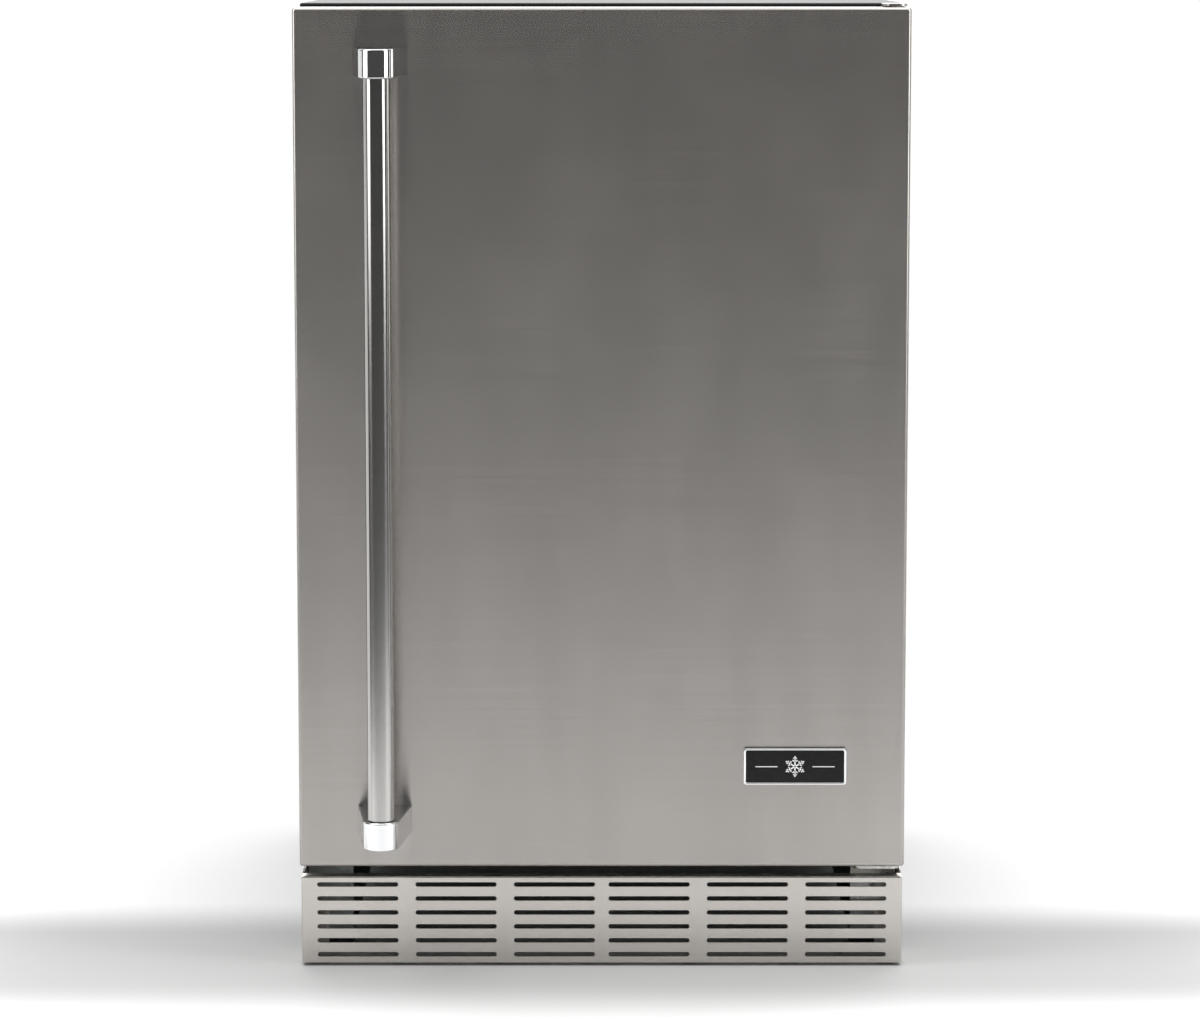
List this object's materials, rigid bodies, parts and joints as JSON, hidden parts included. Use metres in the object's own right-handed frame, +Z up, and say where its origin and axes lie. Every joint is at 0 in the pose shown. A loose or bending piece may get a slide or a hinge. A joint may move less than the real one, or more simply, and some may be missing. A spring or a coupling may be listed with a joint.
{
  "type": "undercounter refrigerator",
  "caption": "Undercounter refrigerator with a brushed steel door hinged on the right, a vertical bar handle and a slotted kick grille; door, bins, controls, fans and feet move.",
  "frame": {"origin": "bottom centre of the bounding box, handle included: z is 0 at the floor under the feet", "axes": "+Z up; -Y towards the person who faces the door; +X to that person's right, where the hinges are"},
  "size_m": [0.52, 0.6754, 0.826],
  "materials": {
    "brushed_stainless": "satin",
    "polished_chrome": "polished",
    "black_enamel": "satin",
    "galvanised_steel": "matte",
    "zinc_plate": "satin",
    "badge_enamel": "gloss",
    "liner_plastic": "satin",
    "grey_plastic": "satin",
    "black_plastic": "matte",
    "frosted_plastic": "satin",
    "clear_plastic": "gloss",
    "dark_rubber": "matte",
    "insulation_foam": "matte",
    "shelf_glass": "gloss",
    "aluminium_fins": "satin",
    "copper_tube": "satin"
  },
  "bodies": {
    "cabinet": {"cabinet_wrap": "black_enamel", "back_panel": "black_enamel", "floor_plate": "galvanised_steel", "cabinet_foam": "insulation_foam", "inner_liner": "liner_plastic", "base_rail_left": "galvanised_steel", "base_rail_right": "galvanised_steel", "compressor_tray": "galvanised_steel", "kick_grille": "brushed_stainless", "upper_hinge_bracket": "zinc_plate", "lower_hinge_bracket": "zinc_plate", "upper_hinge_pin": "zinc_plate", "lower_hinge_pin": "zinc_plate", "shelf_glass_lower": "shelf_glass", "shelf_front_trim_lower": "grey_plastic", "shelf_glass_upper": "shelf_glass", "shelf_front_trim_upper": "grey_plastic", "control_housing": "liner_plastic", "lamp_cover": "frosted_plastic", "duct_cover": "liner_plastic", "evaporator_coil": "aluminium_fins", "evaporator_fan_motor": "black_plastic", "compressor_shell": "black_enamel", "compressor_terminal_cover": "black_plastic", "condensate_tray": "grey_plastic", "drain_tube": "dark_rubber", "grommet_front_left": "dark_rubber", "grommet_front_right": "dark_rubber", "grommet_rear_left": "dark_rubber", "grommet_rear_right": "dark_rubber", "condenser_coil": "black_enamel", "condenser_fan_shroud": "black_plastic", "condenser_fan_motor": "black_enamel", "filter_drier": "copper_tube", "suction_line": "copper_tube", "discharge_line": "copper_tube", "machine_cover": "black_enamel", "cord_gland": "black_plastic"},
    "door": {"door_skin": "brushed_stainless", "door_foam": "insulation_foam", "door_liner": "liner_plastic", "door_gasket": "dark_rubber", "handle_bracket_upper": "polished_chrome", "handle_bracket_lower": "polished_chrome", "handle_bar": "brushed_stainless", "badge": "badge_enamel", "hinge_bush_upper": "black_plastic", "hinge_bush_lower": "black_plastic", "door_stop": "grey_plastic"},
    "lower_bin": {"door_bin_lower": "clear_plastic"},
    "middle_bin": {"door_bin_middle": "clear_plastic"},
    "upper_bin": {"door_bin_upper": "clear_plastic"},
    "thermostat_knob": {"thermostat_knob": "grey_plastic"},
    "light_switch": {"light_switch_rocker": "black_plastic"},
    "evaporator_fan": {"evaporator_fan_blade": "liner_plastic"},
    "condenser_fan": {"condenser_fan_blade": "black_plastic"},
    "front_left_foot": {"foot_front_left": "black_plastic"},
    "front_right_foot": {"foot_front_right": "black_plastic"},
    "rear_left_foot": {"foot_rear_left": "black_plastic"},
    "rear_right_foot": {"foot_rear_right": "black_plastic"}
  },
  "joints": [
    {"name": "door_swing", "type": "hinge", "parent": "cabinet", "child": "door", "pos_m": [0.248, -0.22935, 0.089], "axis": [0, 0, 1], "range_deg": [0, 110]},
    {"name": "lower_bin_lift", "type": "slide", "parent": "door", "child": "lower_bin", "axis": [0, 0, 1], "range_m": [0, 0.02]},
    {"name": "middle_bin_lift", "type": "slide", "parent": "door", "child": "middle_bin", "axis": [0, 0, 1], "range_m": [0, 0.02]},
    {"name": "upper_bin_lift", "type": "slide", "parent": "door", "child": "upper_bin", "axis": [0, 0, 1], "range_m": [0, 0.02]},
    {"name": "thermostat_turn", "type": "hinge", "parent": "cabinet", "child": "thermostat_knob", "pos_m": [-0.06, -0.14135, 0.763], "axis": [0, 1, 0], "range_deg": [0, 270]},
    {"name": "light_switch_rock", "type": "hinge", "parent": "cabinet", "child": "light_switch", "pos_m": [0.06, -0.14035, 0.763], "axis": [1, 0, 0], "range_deg": [0, 16]},
    {"name": "evaporator_fan_spin", "type": "hinge", "parent": "cabinet", "child": "evaporator_fan", "pos_m": [0, 0.26765, 0.645], "axis": [0, -1, 0], "continuous": true},
    {"name": "condenser_fan_spin", "type": "hinge", "parent": "cabinet", "child": "condenser_fan", "pos_m": [-0.094, 0.23945, 0.1073], "axis": [-1, 0, 0], "continuous": true},
    {"name": "front_left_foot_travel", "type": "slide", "parent": "cabinet", "child": "front_left_foot", "axis": [0, 0, -1], "range_m": [0, 0.025]},
    {"name": "front_right_foot_travel", "type": "slide", "parent": "cabinet", "child": "front_right_foot", "axis": [0, 0, -1], "range_m": [0, 0.025]},
    {"name": "rear_left_foot_travel", "type": "slide", "parent": "cabinet", "child": "rear_left_foot", "axis": [0, 0, -1], "range_m": [0, 0.025]},
    {"name": "rear_right_foot_travel", "type": "slide", "parent": "cabinet", "child": "rear_right_foot", "axis": [0, 0, -1], "range_m": [0, 0.025]}
  ]
}
